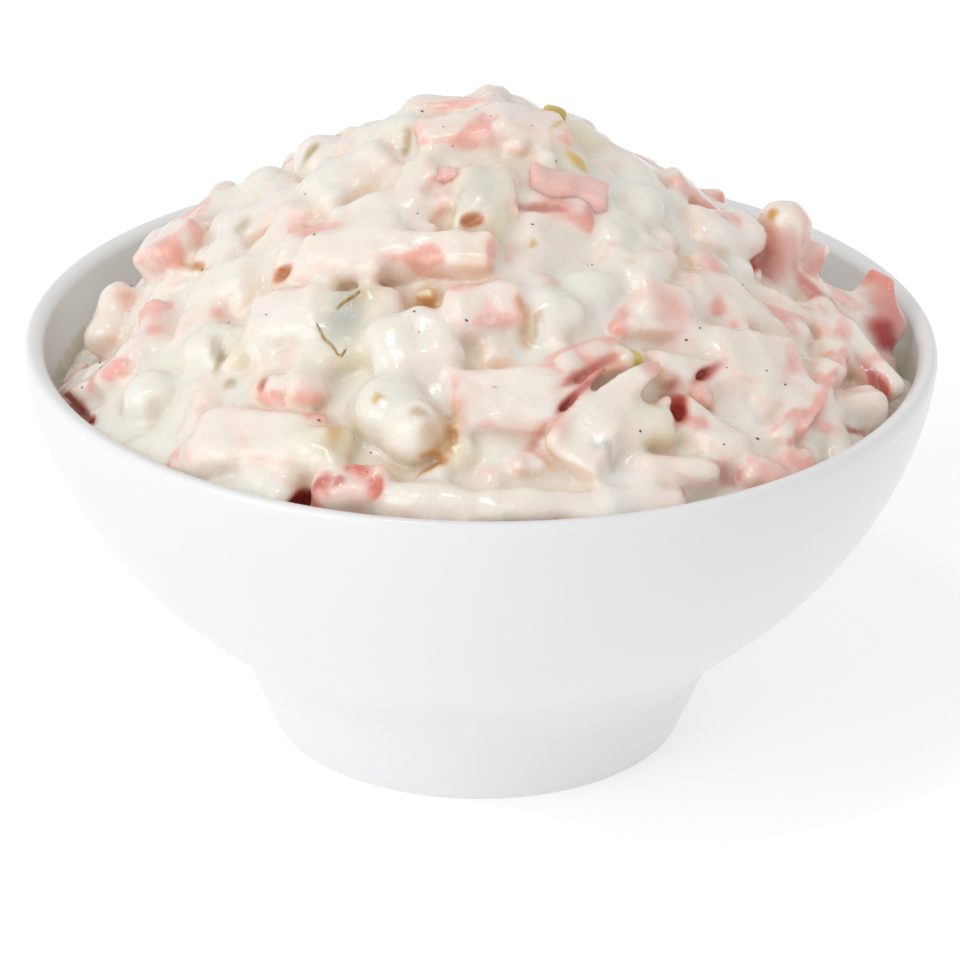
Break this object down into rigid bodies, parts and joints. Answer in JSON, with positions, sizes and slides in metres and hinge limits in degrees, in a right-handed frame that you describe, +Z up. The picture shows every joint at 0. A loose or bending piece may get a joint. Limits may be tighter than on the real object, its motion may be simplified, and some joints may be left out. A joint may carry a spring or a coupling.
{
  "type": "bowl of sausage salad",
  "caption": "Footed white porcelain bowl heaped with mayonnaise salad of sausage strips, peas and gherkin bits.",
  "frame": {"origin": "the floor under the middle of the foot ring, which is the bottom centre of the bounding box", "axes": "+Z up along the bowl's axis, -Y towards the side of the heap that the picture shows, +X to its right"},
  "size_m": [0.1098, 0.1098, 0.081],
  "materials": {
    "porcelain": "white glazed porcelain, plain",
    "dressing": "cream white mayonnaise, wet and softly glossy, pink where it lies thin over sausage",
    "sausage": "cooked sausage, pink, finely pitted on its cut faces and moist",
    "pea": "cooked pea, dull grey green skin under a film of dressing",
    "gherkin": "pickled gherkin, translucent yellow olive",
    "pepper": "ground black pepper, dull"
  },
  "bodies": {
    "root": {"bowl": "porcelain", "salad": "dressing"}
  },
  "joints": []
}
